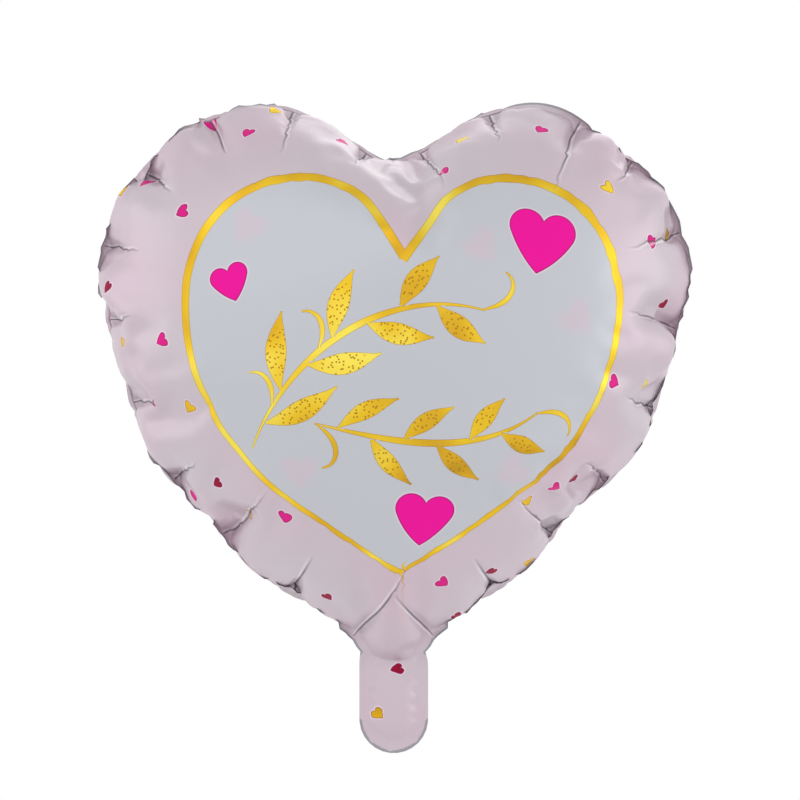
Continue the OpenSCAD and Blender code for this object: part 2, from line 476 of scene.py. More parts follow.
def pressed(points, feet, ways, long, wide):
    """How far each flat point lies in a crease, from 0 to 1: a sharp V across, fading along it."""
    offset = points[:, None] - feet
    along = (offset * ways).sum(2) / long
    across = np.abs(offset[..., 0] * ways[:, 1] - offset[..., 1] * ways[:, 0])
    fade = np.clip(1 - along, 0, 1) * np.clip(1 + along * 4, 0, 1)
    valley = np.clip(1 - across / (wide * (1.1 - np.clip(along, 0, 1))), 0, 1) ** 1.6
    return (fade * valley).max(1)


pleat_count = len(PLEATS)
above_tail = np.flatnonzero(np.abs(between - 0.5) > 0.02)
crease_of = {-1: np.arange(pleat_count), 1: pleat_count + above_tail}
crease_long = CREASE_LONG * random.uniform(0.55, 1.0, len(crease_at))
film_normal = corner_normals(film_co, fine_faces[face_kind != "flange"])
for side, some in crease_of.items():
    on_side = film_side * side > 0
    feet = seal[crease_foot[some]]
    sunk = pressed(film_flat[on_side], feet, crease_way[some], crease_long[some], CREASE_WIDE)
    turns = pleat_turn[on_side] + (0.5 if side > 0 else 0)
    swollen = np.abs(np.sin(np.pi * turns)) ** 0.7 * np.exp(-film_seal[on_side] / SCALLOP_FADE)
    swollen *= smooth_step(0.005, 0.03, film_flat[on_side, 1])
    sunk *= smooth_step(0.0, 0.04, film_flat[on_side, 1])
    film_co[on_side] += (SCALLOP_HIGH * swollen - CREASE_DEEP * sunk)[:, None] * film_normal[on_side]
over_valve = (np.abs(film_flat[:, 0]) < VALVE_ROOM) & (film_side != 0)
film_co[over_valve, 1] = film_side[over_valve] * np.maximum(
    film_side[over_valve] * film_co[over_valve, 1], TAIL_GAP)
print(len(crease_at), "creases pressed in")

# %% [markdown]
# ## The two printed foils
# The two foils become two pieces. Both have the flange, a hair apart, as two sheets really lie. Each piece
# keeps its flat pattern as a UV map, in metres over UV_SPAN, and the print is drawn on that. The back foil
# has the filling hole, and its print is the other way round, so that it reads right from behind.

# %% Make the foil pieces
UV_SPAN = 0.5
UV_MIDDLE = np.array([0.5, 0.14])
HAIR = 0.00012


def crease_frame(points, triangles, feet, ways, longs):
    """Each triangle's corners as seen from the crease nearest to the triangle: the share of the crease's
    length along it, and millimetres across it.
    """
    offset = points[triangles].mean(1)[:, None] - feet
    along = np.clip((offset * ways).sum(2), 0, longs)
    best = np.linalg.norm(offset - along[..., None] * ways, axis=2).argmin(1)
    offset = points[triangles] - feet[best][:, None]
    way = ways[best][:, None]
    across = offset[..., 0] * way[..., 1] - offset[..., 1] * way[..., 0]
    return np.stack([(offset * way).sum(2) / longs[best][:, None], across * 1000], 2)


def foil_piece(name, side):
    """One foil as a mesh of its own; side is -1 for the front foil and 1 for the back one."""
    chosen = (face_kind == "flange") | (face_kind == ("back" if side > 0 else "front"))
    centre = film_flat[fine_faces].mean(1)
    if side > 0:
        chosen &= ~inside(centre, hole)
    triangles = fine_faces[chosen]
    if side > 0:
        turn_over = face_kind[chosen] == "flange"
        triangles[turn_over] = triangles[turn_over][:, ::-1]
    used, inverse = np.unique(triangles, return_inverse=True)
    triangles = inverse.reshape(-1, 3)
    corners = film_co[used]
    corners = corners + HAIR * corner_normals(corners, triangles)
    foil = mesh_object(name, corners, triangles)
    position = film_flat[used] * [-side, 1]
    uv = foil.data.uv_layers.new(name="flat_pattern")
    uv.data.foreach_set("uv", (position[triangles.ravel()] / UV_SPAN + UV_MIDDLE).ravel())
    from_rim = foil.data.attributes.new("from_rim", "FLOAT", "POINT")
    from_rim.data.foreach_set("value", film_rim[used])
    own = crease_of[side]
    line_uv = foil.data.uv_layers.new(name="crease_line")
    line = crease_frame(film_flat[used], triangles, seal[crease_foot[own]], crease_way[own], crease_long[own])
    line_uv.data.foreach_set("uv", line.ravel())
    return foil, position, triangles


front_foil, front_flat, front_tris = foil_piece("printed_front_film", -1)
back_foil, back_flat, back_tris = foil_piece("printed_back_film", 1)
print(len(front_tris), "and", len(back_tris), "triangles")

# %% [markdown]
# ## The print: gold strokes
# The gold is a heart-shaped outline and two leafy sprigs inside it, pressed on the flat foil. A stroke
# could be painted as a picture, but then its edge is only as sharp as the picture. Here each stroke is a
# line with a half width along it. Every triangle of the foil looks up the stroke that covers it best, and
# its corners keep where they lie in that stroke: how far along, and how far across as a share of the half
# width. That is a UV map, and the material only has to ask if the share is under 1 and the place is before
# the stroke's end.

# %% Lines for the strokes
STROKE_STEP = 0.0005
THIN = 0.0006
OUTLINE_X = 0.006
OUTLINE_TOP_Z = (0.075, 0.16, 0.26, 0.34)
OUTLINE_HALF = (0.0017, 0.0021, 0.0027, 0.0032)


def walk(start, heading, sections):
    """A line walked from a start point: along each section the bend goes evenly from its first value to
    its second, so the heading is the heading before plus the bend summed up along the way.

    Gives the points with their headings.
    """
    line = [np.array([[*start, heading]])]
    for long, bend_in, bend_out in sections:
        along = np.arange(1, int(long / STROKE_STEP) + 1) * STROKE_STEP
        way = line[-1][-1, 2] + bend_in * along + (bend_out - bend_in) * along ** 2 / (2 * long)
        steps = np.stack([np.cos(way), np.sin(way)], 1) * STROKE_STEP
        line.append(np.column_stack([line[-1][-1, :2] + np.cumsum(steps, 0), way]))
    return np.concatenate(line)


def heart_outline():
    """Half a heart walked from the cleft over the lobe to the tip, and its mirror image.

    The half width grows from the tip to the lobes.
    """
    half = walk((0, 0.282), np.radians(57), [
        (0.0355, 0, -1), (0.0574, -17.3, -17.3), (0.1165, -15.4, -11.5),
        (0.100, -5.2, -8.0), (0.066, -6.6, -2.4), (0.100, -1, 0)])
    half = half[half[:, 0] >= 0]
    mirrored = half[::-1] * [-1, 1, -1] + [0, 0, np.pi]
    line = np.concatenate([half, mirrored])
    line[:, 0] += OUTLINE_X
    return np.column_stack([line, np.interp(line[:, 1], OUTLINE_TOP_Z, OUTLINE_HALF)])


def swelling_stroke(x, z, heading, long, bend_in, bend_out, thick):
    """One pen stroke, thin at both ends and thick in the middle: a power of a sine along its length."""
    line = walk((x, z), heading, [(long, bend_in, bend_out)])
    share = np.linspace(0, 1, len(line))
    return np.column_stack([line, THIN + (thick / 2 - THIN) * np.sin(np.pi * share) ** 1.3])


def sprig(x, z, heading, sections, leaves, first_side, leaf_long, curls):
    """A bent stem with leaves on alternate sides, smaller towards its end, and curling tendrils."""
    stem = swelling_stroke(x, z, np.radians(heading), *sections, 0.0045)
    parts = [stem]
    for number in range(leaves):
        side = first_side * (-1) ** number
        foot_x, foot_z, way, _ = stem[int(len(stem) * (0.10 + 0.86 * number / leaves))]
        long = leaf_long * (1 - 0.3 * number / leaves)
        leaf_way = way + 0.95 * side
        parts.append(swelling_stroke(foot_x, foot_z, leaf_way, long, -16 * side, -6 * side, leaf_long / 3.9))
    for share, side, long in curls:
        foot_x, foot_z, way, _ = stem[int(len(stem) * share)]
        parts.append(swelling_stroke(foot_x, foot_z, way + 0.45 * side, long, 2 * side, 130 * side, 0.0034))
    return parts


gold_strokes = [heart_outline()]
gold_strokes += sprig(-0.088, 0.163, 68, (0.184, -5, -11), 7, -1, 0.052,
                      [(0.16, 1, 0.030), (0.40, 1, 0.034), (0.99, 1, 0.036)])
gold_strokes += sprig(-0.048, 0.180, -12, (0.142, -1, 13), 6, 1, 0.042,
                      [(0.01, -1, 0.036), (0.99, -1, 0.034)])
print(len(gold_strokes), "gold strokes")

# %% Put the strokes on a foil
REACH = 12


def put_strokes(foil, position, triangles):
    """Each triangle takes the stroke point with the least distance less half width, and each of its
    corners then takes the nearest point within REACH of that one, on the same stroke.

    UV map gold_stroke: the share of the stroke's length along it, and the share of the half width across
    it, with its sign. Attribute stroke_half: the half width. Attribute in_outline: 1 inside the heart
    outline.
    """
    line = np.concatenate(gold_strokes)
    sizes = np.array([len(part) for part in gold_strokes])
    number = np.repeat(np.arange(len(gold_strokes)), sizes)
    first = np.cumsum(sizes) - sizes
    centre = position[triangles].mean(1)
    best = []
    for some in np.array_split(centre, 1 + len(centre) // 1000):
        apart = np.hypot(some[:, :1] - line[:, 0], some[:, 1:] - line[:, 1])
        best.append((apart - line[:, 3]).argmin(1))
    best = np.concatenate(best)
    near = np.clip(best[:, None] + np.arange(-REACH, REACH + 1), 0, len(line) - 1)
    near = np.where(number[near] == number[best][:, None], near, best[:, None])
    corner = position[triangles]
    offset = corner[:, :, None] - line[near][:, None, :, :2]
    pick = np.hypot(offset[..., 0], offset[..., 1]).argmin(2)
    chosen = np.take_along_axis(near, pick, 1)
    at = line[chosen]
    offset = corner - at[..., :2]
    across = offset[..., 1] * np.cos(at[..., 2]) - offset[..., 0] * np.sin(at[..., 2])
    forward = offset[..., 0] * np.cos(at[..., 2]) + offset[..., 1] * np.sin(at[..., 2])
    stroke = number[chosen]
    along = (chosen - first[stroke] + forward / STROKE_STEP) / sizes[stroke]
    uv = foil.data.uv_layers.new(name="gold_stroke")
    uv.data.foreach_set("uv", np.stack([along, across / at[..., 3]], 2).ravel())
    half = foil.data.attributes.new("stroke_half", "FLOAT", "CORNER")
    half.data.foreach_set("value", at[..., 3].ravel())
    middle = foil.data.attributes.new("in_outline", "FLOAT", "FACE")
    middle.data.foreach_set("value", inside(centre, gold_strokes[0][:, :2]).astype(float))


put_strokes(front_foil, front_flat, front_tris)
put_strokes(back_foil, back_flat, back_tris)

# %% [markdown]
# ## The print: hearts
# Small hearts in three inks are scattered over the band round the outline, with three big magenta ones
# and a few faint ones inside it. Each triangle of the foil keeps the frame of the heart nearest to it: a
# UV map centred on that heart, turned with it, in heart widths. One heart drawn in that frame is then
# drawn everywhere, however many there are.

# %% Where the hearts are printed
MAGENTA, PINK, CRIMSON, GILT, FAINT = range(5)
HEARTS = [
    (MAGENTA, 0.025, 20, [(-0.103, 0.267)]),
    (MAGENTA, 0.043, -13, [(0.094, 0.295)]),
    (MAGENTA, 0.037, -8, [(0.019, 0.121)]),
    (FAINT, 0.025, None, [(0.055, 0.290), (0.114, 0.245), (-0.058, 0.150), (-0.094, 0.302), (0.075, 0.150)]),
    (PINK, 0.0095, None, [
        (-0.107, 0.376), (-0.185, 0.345), (-0.139, 0.312), (-0.149, 0.230), (-0.045, 0.393), (0.037, 0.349),
        (0.108, 0.381), (0.174, 0.297), (0.143, 0.204), (0.108, 0.133), (0.033, 0.070), (-0.070, 0.116),
        (0.165, 0.385), (-0.142, 0.398), (0.062, 0.012), (-0.150, 0.110)]),
    (CRIMSON, 0.0085, None, [
        (-0.198, 0.267), (-0.168, 0.187), (-0.118, 0.134), (-0.047, 0.052), (0.137, 0.124), (0.068, 0.068),
        (0.047, 0.032), (0.196, 0.256), (0.002, -0.008), (-0.020, 0.420), (0.130, 0.415), (-0.095, 0.030)]),
    (GILT, 0.0090, None, [
        (-0.193, 0.228), (-0.134, 0.186), (-0.018, 0.362), (0.142, 0.330), (0.202, 0.309), (0.177, 0.199),
        (0.090, 0.122), (-0.104, 0.105), (-0.011, -0.037), (0.055, 0.385), (-0.096, 0.407), (-0.199, 0.335),
        (0.100, 0.060), (0.040, 0.425)])]


def put_hearts(foil, position, triangles):
    """UV map heart_frame: place from the nearest heart's centre, turned back by its turn, over its width.

    Face attributes: heart_ink, which of the five inks it has, and heart_wide, its width.
    """
    turns = np.random.default_rng(5)
    table = [(ink, wide, np.radians(turns.uniform(-70, 70) if turn is None else turn), *place)
             for ink, wide, turn, places in HEARTS for place in places]
    ink, wide, turn, x, z = np.array(table).T
    centre = position[triangles].mean(1)
    apart = np.hypot(centre[:, :1] - x, centre[:, 1:] - z)
    best = (apart - 0.6 * wide).argmin(1)
    offset = (position[triangles] - np.stack([x, z], 1)[best][:, None]) / wide[best][:, None, None]
    cosine, sine = np.cos(turn[best])[:, None], np.sin(turn[best])[:, None]
    turned = np.stack([offset[..., 0] * cosine + offset[..., 1] * sine,
                       offset[..., 1] * cosine - offset[..., 0] * sine], 2)
    uv = foil.data.uv_layers.new(name="heart_frame")
    uv.data.foreach_set("uv", np.clip(turned, -4, 4).ravel())
    for name, value in (("heart_ink", ink), ("heart_wide", wide)):
        attribute = foil.data.attributes.new(name, "FLOAT", "FACE")
        attribute.data.foreach_set("value", value[best])
    return len(table)


print(put_hearts(front_foil, front_flat, front_tris), "hearts on the front")
print(put_hearts(back_foil, back_flat, back_tris), "hearts on the back")

# %% [markdown]
# ## Small tools for the materials
# A material is a graph of nodes. A few short functions place a node, join it up and set its numbers, so
# that each finish below reads as the steps that make it.

# %% Node helpers


def add_node(tree, kind, *inputs, **settings):
    """Places a node; each input is a number, a colour or another node's output socket."""
    node = tree.nodes.new(kind)
    for name, value in settings.items():
        setattr(node, name, value)
    for socket, value in zip(node.inputs, inputs):
        if isinstance(value, bpy.types.NodeSocket):
            tree.links.new(value, socket)
        elif value is not None:
            socket.default_value = value
    return node


def calc(tree, operation, *inputs, **settings):
    """One sum with numbers or sockets; gives its result."""
    return add_node(tree, "ShaderNodeMath", *inputs, operation=operation, **settings).outputs[0]


def plus(tree, first, second):
    """first + second"""
    return calc(tree, "ADD", first, second)


def minus(tree, first, second):
    """first - second"""
    return calc(tree, "SUBTRACT", first, second)


def times(tree, first, second):
    """first x second"""
    return calc(tree, "MULTIPLY", first, second)


def fade(tree, value, low, high):
    """0 where the value is at or under low and 1 at or over high; low may be the higher of the two."""
    return add_node(tree, "ShaderNodeMapRange", value, low, high, 0.0, 1.0).outputs["Result"]


def blend_colour(tree, share, under, over):
    """One colour laid over another by a share."""
    node = tree.nodes.new("ShaderNodeMix")
    node.data_type = "RGBA"
    for name, value in (("Factor_Float", share), ("A_Color", under), ("B_Color", over)):
        socket = next(one for one in node.inputs if one.identifier == name)
        if isinstance(value, bpy.types.NodeSocket):
            tree.links.new(value, socket)
        else:
            socket.default_value = value
    return next(one for one in node.outputs if one.identifier == "Result_Color")


def uv_place(tree, name):
    """The across and up parts of one of the piece's own UV maps."""
    uv = add_node(tree, "ShaderNodeUVMap", uv_map=name)
    parts = add_node(tree, "ShaderNodeSeparateXYZ", uv.outputs[0])
    return parts.outputs[0], parts.outputs[1]


def stored(tree, name):
    """A value stored on the piece's mesh."""
    return add_node(tree, "ShaderNodeAttribute", attribute_name=name).outputs["Fac"]


def new_group(name, inputs, outputs):
    """An empty node group with the sockets named, and its two end nodes."""
    group = bpy.data.node_groups.new(name, "ShaderNodeTree")
    for label, kind in inputs:
        group.interface.new_socket(label, in_out="INPUT", socket_type=kind)
    for label, kind in outputs:
        group.interface.new_socket(label, in_out="OUTPUT", socket_type=kind)
    return group, group.nodes.new("NodeGroupInput"), group.nodes.new("NodeGroupOutput")


def use_group(tree, group, *inputs):
    """Places a group in a material."""
    node = tree.nodes.new("ShaderNodeGroup")
    node.node_tree = group
    for socket, value in zip(node.inputs, inputs):
        if isinstance(value, bpy.types.NodeSocket):
            tree.links.new(value, socket)
        else:
            socket.default_value = value
    return node


# %% [markdown]
# ## A printed heart
# The heart is two arcs mirrored about its middle: a round lobe, and a long flat arc from the lobe to the
# tip that touches it. A line through both centres says which arc a place belongs to. The result is the
# distance outside the edge, in heart widths, less than 0 inside.

# %% Heart distance group
LOBE = (0.235, 0.13)
LOBE_ROUND = 0.265
SIDE_ROUND = 1.5
SIDE_TURN = np.radians(26)
heart_group, ends_in, ends_out = new_group(
    "printed heart", [("Across", "NodeSocketFloat"), ("Up", "NodeSocketFloat")],
    [("Distance", "NodeSocketFloat")])
side_centre = (LOBE[0] + (LOBE_ROUND - SIDE_ROUND) * np.cos(SIDE_TURN),
               LOBE[1] - (LOBE_ROUND - SIDE_ROUND) * np.sin(SIDE_TURN))


def round_distance(tree, across, up, centre, radius):
    """Distance from a circle's edge: the square root of both offsets squared, less the radius."""
    side = minus(tree, across, centre[0])
    rise = minus(tree, up, centre[1])
    square = plus(tree, times(tree, side, side), times(tree, rise, rise))
    return minus(tree, calc(tree, "SQRT", square), radius)


mirrored = calc(heart_group, "ABSOLUTE", ends_in.outputs["Across"])
up = ends_in.outputs["Up"]
lobe_distance = round_distance(heart_group, mirrored, up, LOBE, LOBE_ROUND)
side_distance = round_distance(heart_group, mirrored, up, side_centre, SIDE_ROUND)
out_part = times(heart_group, minus(heart_group, mirrored, LOBE[0]), np.sin(SIDE_TURN))
up_part = times(heart_group, minus(heart_group, up, LOBE[1]), np.cos(SIDE_TURN))
over_line = plus(heart_group, out_part, up_part)
on_lobe = calc(heart_group, "GREATER_THAN", over_line, 0.0)
chosen = add_node(heart_group, "ShaderNodeMix", on_lobe, None, side_distance, lobe_distance)
heart_group.links.new(chosen.outputs[0], ends_out.inputs["Distance"])

# %% [markdown]
# ## Gold foil stamping
# Stamped gold mirrors the room, so one stroke runs from brown through amber to pale yellow as the balloon
# curves. Part of that is the real reflection, and part is painted reflection, laid in as slow bands of
# colour. Tiny dents in the stamp are a bump, with painted shade in them that shows as dark specks. The
# edge has a thin brown line.

# %% Gold colour group
gold_group, ends_in, ends_out = new_group(
    "gold stamping",
    [("Place", "NodeSocketVector"), ("Edge", "NodeSocketFloat"), ("Specks", "NodeSocketFloat")],
    [("Color", "NodeSocketColor"), ("Height", "NodeSocketFloat")])
# Painted reflection: slow bands of noise take the gold from brown through amber to pale yellow.
painted_reflection_noise = add_node(gold_group, "ShaderNodeTexNoise", ends_in.outputs["Place"], noise_dimensions="2D")
painted_reflection_noise.inputs["Scale"].default_value = 16
painted_reflection_noise.inputs["Detail"].default_value = 2
painted_reflection_ramp = add_node(gold_group, "ShaderNodeValToRGB", painted_reflection_noise.outputs["Fac"])
painted_reflection_stops = painted_reflection_ramp.color_ramp.elements
painted_reflection_stops[0].position, painted_reflection_stops[0].color = 0.28, (0.42, 0.22, 0.012, 1)
painted_reflection_stops[1].position, painted_reflection_stops[1].color = 0.68, (1.0, 0.82, 0.10, 1)
painted_reflection_stops.new(0.38).color = (0.74, 0.42, 0.016, 1)
painted_reflection_stops.new(0.52).color = (0.90, 0.59, 0.025, 1)
dents = add_node(gold_group, "ShaderNodeTexVoronoi", ends_in.outputs["Place"], voronoi_dimensions="2D")
dents.inputs["Scale"].default_value = 330
# Painted shade: in each tiny dent the gold is darkened to brown; the dents are also a bump below.
dent_bump_and_shade = times(gold_group, fade(gold_group, dents.outputs["Distance"], 0.24, 0.14), ends_in.outputs["Specks"])
dent_shaded = blend_colour(gold_group, dent_bump_and_shade, painted_reflection_ramp.outputs["Color"], (0.45, 0.22, 0.01, 1))
edged = blend_colour(gold_group, ends_in.outputs["Edge"], dent_shaded, (0.36, 0.18, 0.012, 1))
gold_group.links.new(edged, ends_out.inputs["Color"])
gold_group.links.new(minus(gold_group, 1.0, dent_bump_and_shade), ends_out.inputs["Height"])

# %% [markdown]
# ## Film crinkle
# Thin film is never quite flat: it has a fine crinkle everywhere, and long faint lines where the gas pulls
# it tight. Both are heights for a bump, and both materials use them.

# %% Crinkle group
crinkle_group, ends_in, ends_out = new_group(
    "film crinkle", [("Place", "NodeSocketVector"), ("Fineness", "NodeSocketFloat")],
    [("Height", "NodeSocketFloat"), ("Cloud", "NodeSocketFloat")])
fine = add_node(crinkle_group, "ShaderNodeTexNoise", ends_in.outputs["Place"])
crinkle_group.links.new(ends_in.outputs["Fineness"], fine.inputs["Scale"])
fine.inputs["Detail"].default_value = 3
folds = add_node(crinkle_group, "ShaderNodeTexVoronoi", ends_in.outputs["Place"], feature="DISTANCE_TO_EDGE")
folds.inputs["Scale"].default_value = 26
fold = fade(crinkle_group, folds.outputs["Distance"], 0.05, 0.0)
height = plus(crinkle_group, fine.outputs["Fac"], times(crinkle_group, fold, 0.25))
crinkle_group.links.new(height, ends_out.inputs["Height"])
cloud = add_node(crinkle_group, "ShaderNodeTexNoise", ends_in.outputs["Place"])
cloud.inputs["Scale"].default_value = 11
cloud.inputs["Detail"].default_value = 1
crinkle_group.links.new(cloud.outputs["Fac"], ends_out.inputs["Cloud"])

# %% [markdown]
# ## The printed film
# Pearl ink on a metal film: partly a metal, soft in its shine, pink outside the gold outline and a cool
# white inside it. Inks and gold are laid over it by masks, and the gold is a full metal and smoother. The
# seal round the edge is duller, because the heat bars leave it slightly rough, and the print stops just
# short of the cut, which leaves a thin line of bare grey foil. Each crease is painted as a thin dark line of
# shade, with a painted glint beside it where the fold's lip would catch the light.

# %% Printed film material
BAND_PINK = (0.620, 0.490, 0.565, 1)
BAND_CLOUD = (0.600, 0.525, 0.575, 1)
MIDDLE_WHITE = (0.545, 0.560, 0.605, 1)
INKS = [(0.86, 0.004, 0.33, 1), (0.72, 0.012, 0.24, 1), (0.30, 0.001, 0.030, 1), (0.80, 0.50, 0.03, 1),
        (0.66, 0.50, 0.58, 1)]
# Painted shade and painted highlight for the creases.
CREASE_SHADE = (0.10, 0.08, 0.10, 1)
CREASE_GLINT = (0.95, 0.88, 0.93, 1)
BARE_FOIL = (0.33, 0.32, 0.35, 1)
BARE_EDGE = 0.0020
PRINT_SOFT = 0.00012
END_SHARE = 0.502
GLINT_ASIDE = 1.5


def printed_film(name):
    """The whole print over pearl film, from the piece's UV maps and attributes."""
    material = bpy.data.materials.new(name)
    material.use_nodes = True
    tree = material.node_tree
    shader = tree.nodes["Principled BSDF"]
    flat_uv = add_node(tree, "ShaderNodeUVMap", uv_map="flat_pattern")
    scaled = add_node(tree, "ShaderNodeVectorMath", flat_uv.outputs[0], (UV_SPAN,) * 3, operation="MULTIPLY")
    place = scaled.outputs[0]
    crinkle = use_group(tree, crinkle_group, place, 220.0)
    in_outline = stored(tree, "in_outline")
    band = blend_colour(tree, fade(tree, crinkle.outputs["Cloud"], 0.35, 0.65), BAND_PINK, BAND_CLOUD)
    colour = blend_colour(tree, in_outline, band, MIDDLE_WHITE)

    across, up = uv_place(tree, "heart_frame")
    wide = stored(tree, "heart_wide")
    ink = stored(tree, "heart_ink")
    distance = times(tree, use_group(tree, heart_group, across, up).outputs[0], wide)
    heart = fade(tree, distance, PRINT_SOFT, -PRINT_SOFT)
    ink_share = calc(tree, "DIVIDE", plus(tree, ink, 0.5), len(INKS))
    ink_ramp = add_node(tree, "ShaderNodeValToRGB", ink_share)
    ink_ramp.color_ramp.interpolation = "CONSTANT"
    stops = ink_ramp.color_ramp.elements
    stops[0].color = INKS[0]
    stops[1].position, stops[1].color = 1 / len(INKS), INKS[1]
    for number in range(2, len(INKS)):
        stops.new(number / len(INKS)).color = INKS[number]
    is_faint = calc(tree, "GREATER_THAN", ink, 3.5)
    is_solid = minus(tree, 1.0, is_faint)
    is_gilt = times(tree, calc(tree, "GREATER_THAN", ink, 2.5), is_solid)
    soft_heart = times(tree, fade(tree, distance, 0.0015, -0.004), is_faint)
    halo = times(tree, fade(tree, distance, 0.0011, 0.0006), is_solid)
    colour = blend_colour(tree, times(tree, halo, 0.55), colour, (0.86, 0.68, 0.80, 1))
    colour = blend_colour(tree, times(tree, soft_heart, 0.5), colour, INKS[4])
    ink_edge = times(tree, fade(tree, distance, -0.0009, -0.0004), 0.85)
    rimmed = blend_colour(tree, ink_edge, ink_ramp.outputs["Color"], (0.28, 0.005, 0.11, 1))
    solid = times(tree, heart, is_solid)
    colour = blend_colour(tree, solid, colour, rimmed)

    along, share = uv_place(tree, "gold_stroke")
    half = stored(tree, "stroke_half")
    into = times(tree, minus(tree, 1.0, calc(tree, "ABSOLUTE", share)), half)
    from_middle = calc(tree, "ABSOLUTE", minus(tree, along, 0.5))
    past_end = calc(tree, "GREATER_THAN", from_middle, END_SHARE)
    stroke = calc(tree, "SUBTRACT", fade(tree, into, -PRINT_SOFT, PRINT_SOFT), past_end, use_clamp=True)
    gilt = times(tree, heart, is_gilt)
    stroke_edge = times(tree, fade(tree, into, 0.00040, 0.00015), stroke)
    gilt_edge = times(tree, fade(tree, distance, -0.0007, -0.0002), gilt)
    edge = calc(tree, "MAXIMUM", stroke_edge, gilt_edge)
    wide_part = fade(tree, half, 0.0034, 0.0042)
    gold = use_group(tree, gold_group, place, edge, wide_part)
    gold_mask = calc(tree, "MAXIMUM", stroke, gilt)
    colour = blend_colour(tree, gold_mask, colour, gold.outputs["Color"])
    # Painted light on each crease: a painted glint to one side, then a thin painted line of shade on it.
    crease_along, crease_across = uv_place(tree, "crease_line")
    started = fade(tree, crease_along, -0.06, 0.0)
    crease_left = times(tree, started, fade(tree, crease_along, 1.0, 0.6))
    beside = calc(tree, "ABSOLUTE", plus(tree, crease_across, GLINT_ASIDE))
    glint = times(tree, fade(tree, beside, 1.1, 0.3), times(tree, crease_left, 0.5))
    colour = blend_colour(tree, glint, colour, CREASE_GLINT)
    shade = times(tree, fade(tree, calc(tree, "ABSOLUTE", crease_across), 1.0, 0.3), crease_left)
    colour = blend_colour(tree, times(tree, shade, 0.8), colour, CREASE_SHADE)
    from_rim = stored(tree, "from_rim")
    colour = blend_colour(tree, fade(tree, from_rim, BARE_EDGE, 0.7 * BARE_EDGE), colour, BARE_FOIL)
    tree.links.new(colour, shader.inputs["Base Color"])

    seal_mask = fade(tree, from_rim, SEAL_W, SEAL_W - 0.0006)
    metal = plus(tree, times(tree, gold_mask, 0.65), 0.30)
    metal = minus(tree, metal, times(tree, solid, 0.10))
    tree.links.new(metal, shader.inputs["Metallic"])
    rough = minus(tree, 0.42, times(tree, gold_mask, 0.12))
    rough = plus(tree, rough, times(tree, seal_mask, 0.10))
    tree.links.new(rough, shader.inputs["Roughness"])
    coat = times(tree, minus(tree, 1.0, solid), 0.25)
    tree.links.new(coat, shader.inputs["Coat Weight"])
    shine = minus(tree, 0.5, times(tree, solid, 0.35))
    tree.links.new(shine, shader.inputs["Specular IOR Level"])
    shader.inputs["Coat Roughness"].default_value = 0.18
    bars = add_node(tree, "ShaderNodeTexVoronoi", place, voronoi_dimensions="2D")
    bars.inputs["Scale"].default_value = 900
    gold_height = times(tree, gold.outputs["Height"], times(tree, gold_mask, 0.5))
    height = plus(tree, times(tree, crinkle.outputs["Height"], 0.25), gold_height)
    height = plus(tree, height, times(tree, seal_mask, minus(tree, bars.outputs["Distance"], 1.0)))
    bump = add_node(tree, "ShaderNodeBump")
    bump.inputs["Strength"].default_value = 0.35
    bump.inputs["Distance"].default_value = 0.0003
    tree.links.new(height, bump.inputs["Height"])
    tree.links.new(bump.outputs[0], shader.inputs["Normal"])
    return material


pearl = printed_film("pearl_film_print")
for foil in (front_foil, back_foil):
    foil.data.materials.append(pearl)
print("film material with", len(pearl.node_tree.nodes), "nodes")

# %% [markdown]
# ## The valve
# Two clear strips, sealed along their long edges, run from the filling hole up into the heart. Gas pushes
# them together, so nothing leaks back out. Nobody sees them, except through the hole, but they are part of
# the balloon. Each is a flat sheet with a slight wave where it hangs free inside the heart; the one behind
# has the filling hole too.

# %% Valve strips
valve_low, valve_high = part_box("valve_front_film")
tail_valve_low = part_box("tail_valve_front_film")[0]
VALVE_STEP = 0.003
VALVE_GAP = 0.00015
VALVE_WAVE = 0.00012


def valve_strip(name, side):
    """One clear strip; side is -1 for the front one and 1 for the back one, which has the hole."""
    x0, x1, z0, z1 = valve_low.x, valve_high.x, tail_valve_low.z, valve_high.z
    edge = spread(np.array([[x0, z0], [x0, z1], [x1, z1], [x1, z0]]), VALVE_STEP)
    corners, triangles = fill_sheet([edge, hole], [], edge, VALVE_STEP)
    if side > 0:
        triangles = triangles[~inside(corners[triangles].mean(1), hole)][:, ::-1]
    gap = VALVE_GAP + VALVE_WAVE * np.sin(corners[:, 1] / 0.006) * smooth_step(0.01, 0.03, corners[:, 1])
    strip = mesh_object(name, np.stack([corners[:, 0], side * gap, corners[:, 1]], 1), triangles)
    strip_uv = strip.data.uv_layers.new(name="flat_pattern")
    strip_uv.data.foreach_set("uv", (corners[triangles.ravel()] / UV_SPAN + UV_MIDDLE).ravel())
    return strip


front_strip = valve_strip("valve_front_strip", -1)
back_strip = valve_strip("valve_back_strip", 1)
clear_film = bpy.data.materials.new("clear_valve_film")
clear_film.use_nodes = True
clear_tree = clear_film.node_tree
clear_shader = clear_tree.nodes["Principled BSDF"]
clear_uv = add_node(clear_tree, "ShaderNodeUVMap", uv_map="flat_pattern")
clear_crinkle = use_group(clear_tree, crinkle_group, clear_uv.outputs[0], 90.0)
haze = blend_colour(clear_tree, clear_crinkle.outputs["Cloud"], (0.80, 0.83, 0.85, 1), (0.92, 0.94, 0.95, 1))
clear_tree.links.new(haze, clear_shader.inputs["Base Color"])
clear_shader.inputs["Transmission Weight"].default_value = 0.8
clear_shader.inputs["Roughness"].default_value = 0.2
clear_shader.inputs["IOR"].default_value = 1.5
clear_bump = add_node(clear_tree, "ShaderNodeBump")
clear_bump.inputs["Strength"].default_value = 0.3
clear_bump.inputs["Distance"].default_value = 0.0003
clear_tree.links.new(clear_crinkle.outputs["Height"], clear_bump.inputs["Height"])
clear_tree.links.new(clear_bump.outputs[0], clear_shader.inputs["Normal"])
for strip in (front_strip, back_strip):
    strip.data.materials.append(clear_film)
